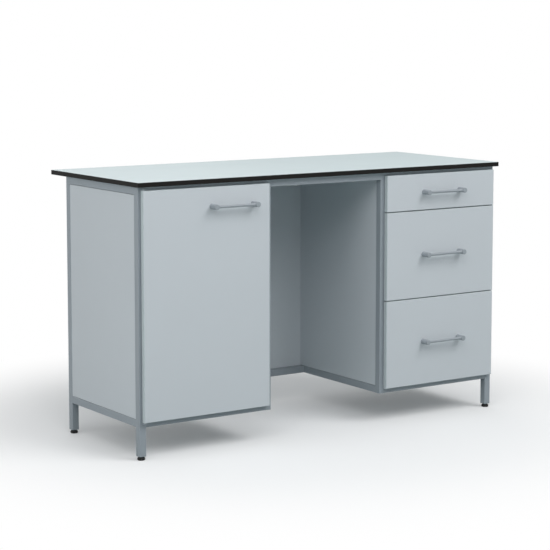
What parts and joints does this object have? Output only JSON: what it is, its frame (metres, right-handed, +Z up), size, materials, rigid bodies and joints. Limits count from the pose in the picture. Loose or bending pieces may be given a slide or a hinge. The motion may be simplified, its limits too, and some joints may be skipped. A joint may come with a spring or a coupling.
{
  "type": "laboratory bench",
  "caption": "Laboratory bench on a square steel frame: slim worktop with a dark core, hinged cupboard on the left, open kneehole, drawers on the right, levelling feet.",
  "frame": {"origin": "on the floor, under the middle of the whole outline, handles included", "axes": "+X along the bench to the right as seen from the front, +Y towards its back, +Z up"},
  "size_m": [1.5, 0.633, 0.905],
  "materials": {
    "compact_laminate": "satin pale grey-green laminate face over a black core",
    "frame_paint": "satin grey powder coat",
    "grey_board": "satin light grey melamine board, edged",
    "drawer_base_board": "satin pale grey thin board",
    "handle_metal": "satin grey powder coat",
    "zinc_steel": "satin zinc plate",
    "black_plastic": "matte moulded plastic",
    "grey_plastic": "matte moulded plastic in the colour of the frame",
    "catch_plastic": "matte white moulded plastic"
  },
  "bodies": {
    "frame": {"back_panel_kneehole": "grey_board", "back_panel_left": "grey_board", "back_panel_right": "grey_board", "cupboard_floor": "grey_board", "door_catch": "catch_plastic", "door_pivot_brackets": "frame_paint", "drawer_cabinet_floor": "grey_board", "leg_front_left": "frame_paint", "leg_front_right": "frame_paint", "leg_plugs": "grey_plastic", "leg_rear_left": "frame_paint", "leg_rear_right": "frame_paint", "panel_cleats": "zinc_steel", "panel_end_left": "grey_board", "panel_end_right": "grey_board", "panel_inner_left": "grey_board", "panel_inner_right": "grey_board", "post_inner_left": "frame_paint", "post_inner_right": "frame_paint", "rail_bottom_front_left": "frame_paint", "rail_bottom_front_right": "frame_paint", "rail_bottom_rear": "frame_paint", "rail_top_front": "frame_paint", "rail_top_rear": "frame_paint", "runner_cabinet_members": "zinc_steel", "runner_packers": "grey_board", "shelf": "grey_board", "shelf_pins": "zinc_steel", "side_rails_bottom": "frame_paint", "side_rails_top": "frame_paint", "worktop": "compact_laminate"},
    "door": {"door_handle": "handle_metal", "door_panel": "grey_board", "door_pivot_plates": "zinc_steel", "door_strike_plate": "zinc_steel"},
    "drawer_bottom": {"drawer_bottom_base": "drawer_base_board", "drawer_bottom_box": "grey_board", "drawer_bottom_front": "grey_board", "drawer_bottom_handle": "handle_metal", "drawer_bottom_runner_inner": "zinc_steel"},
    "runner_middle_bottom": {"drawer_bottom_runner_middle": "zinc_steel"},
    "drawer_middle": {"drawer_middle_base": "drawer_base_board", "drawer_middle_box": "grey_board", "drawer_middle_front": "grey_board", "drawer_middle_handle": "handle_metal", "drawer_middle_runner_inner": "zinc_steel"},
    "runner_middle_middle": {"drawer_middle_runner_middle": "zinc_steel"},
    "drawer_top": {"drawer_top_base": "drawer_base_board", "drawer_top_box": "grey_board", "drawer_top_front": "grey_board", "drawer_top_handle": "handle_metal", "drawer_top_runner_inner": "zinc_steel"},
    "runner_middle_top": {"drawer_top_runner_middle": "zinc_steel"},
    "foot_front_left": {"foot_front_left": "black_plastic"},
    "foot_front_right": {"foot_front_right": "black_plastic"},
    "foot_rear_left": {"foot_rear_left": "black_plastic"},
    "foot_rear_right": {"foot_rear_right": "black_plastic"}
  },
  "joints": [
    {"name": "door_hinge", "type": "hinge", "parent": "frame", "child": "door", "pos_m": [-0.725, -0.2735, 0.50175], "axis": [0, 0, -1], "range_deg": [0, 110]},
    {"name": "drawer_top_slide", "type": "slide", "parent": "frame", "child": "drawer_top", "axis": [0, -1, 0], "range_m": [0, 0.45]},
    {"name": "runner_middle_top_slide", "type": "slide", "parent": "frame", "child": "runner_middle_top", "axis": [0, -1, 0], "range_m": [0, 0.225]},
    {"name": "drawer_middle_slide", "type": "slide", "parent": "frame", "child": "drawer_middle", "axis": [0, -1, 0], "range_m": [0, 0.45]},
    {"name": "runner_middle_middle_slide", "type": "slide", "parent": "frame", "child": "runner_middle_middle", "axis": [0, -1, 0], "range_m": [0, 0.225]},
    {"name": "drawer_bottom_slide", "type": "slide", "parent": "frame", "child": "drawer_bottom", "axis": [0, -1, 0], "range_m": [0, 0.45]},
    {"name": "runner_middle_bottom_slide", "type": "slide", "parent": "frame", "child": "runner_middle_bottom", "axis": [0, -1, 0], "range_m": [0, 0.225]},
    {"name": "foot_front_left_screw", "type": "slide", "parent": "frame", "child": "foot_front_left", "axis": [0, 0, -1], "range_m": [-0.002, 0.02]},
    {"name": "foot_front_right_screw", "type": "slide", "parent": "frame", "child": "foot_front_right", "axis": [0, 0, -1], "range_m": [-0.002, 0.02]},
    {"name": "foot_rear_left_screw", "type": "slide", "parent": "frame", "child": "foot_rear_left", "axis": [0, 0, -1], "range_m": [-0.002, 0.02]},
    {"name": "foot_rear_right_screw", "type": "slide", "parent": "frame", "child": "foot_rear_right", "axis": [0, 0, -1], "range_m": [-0.002, 0.02]}
  ],
  "couplings": [
    {"joint": "runner_middle_top_slide", "follows": "drawer_top_slide", "ratio": 0.5},
    {"joint": "runner_middle_middle_slide", "follows": "drawer_middle_slide", "ratio": 0.5},
    {"joint": "runner_middle_bottom_slide", "follows": "drawer_bottom_slide", "ratio": 0.5}
  ]
}
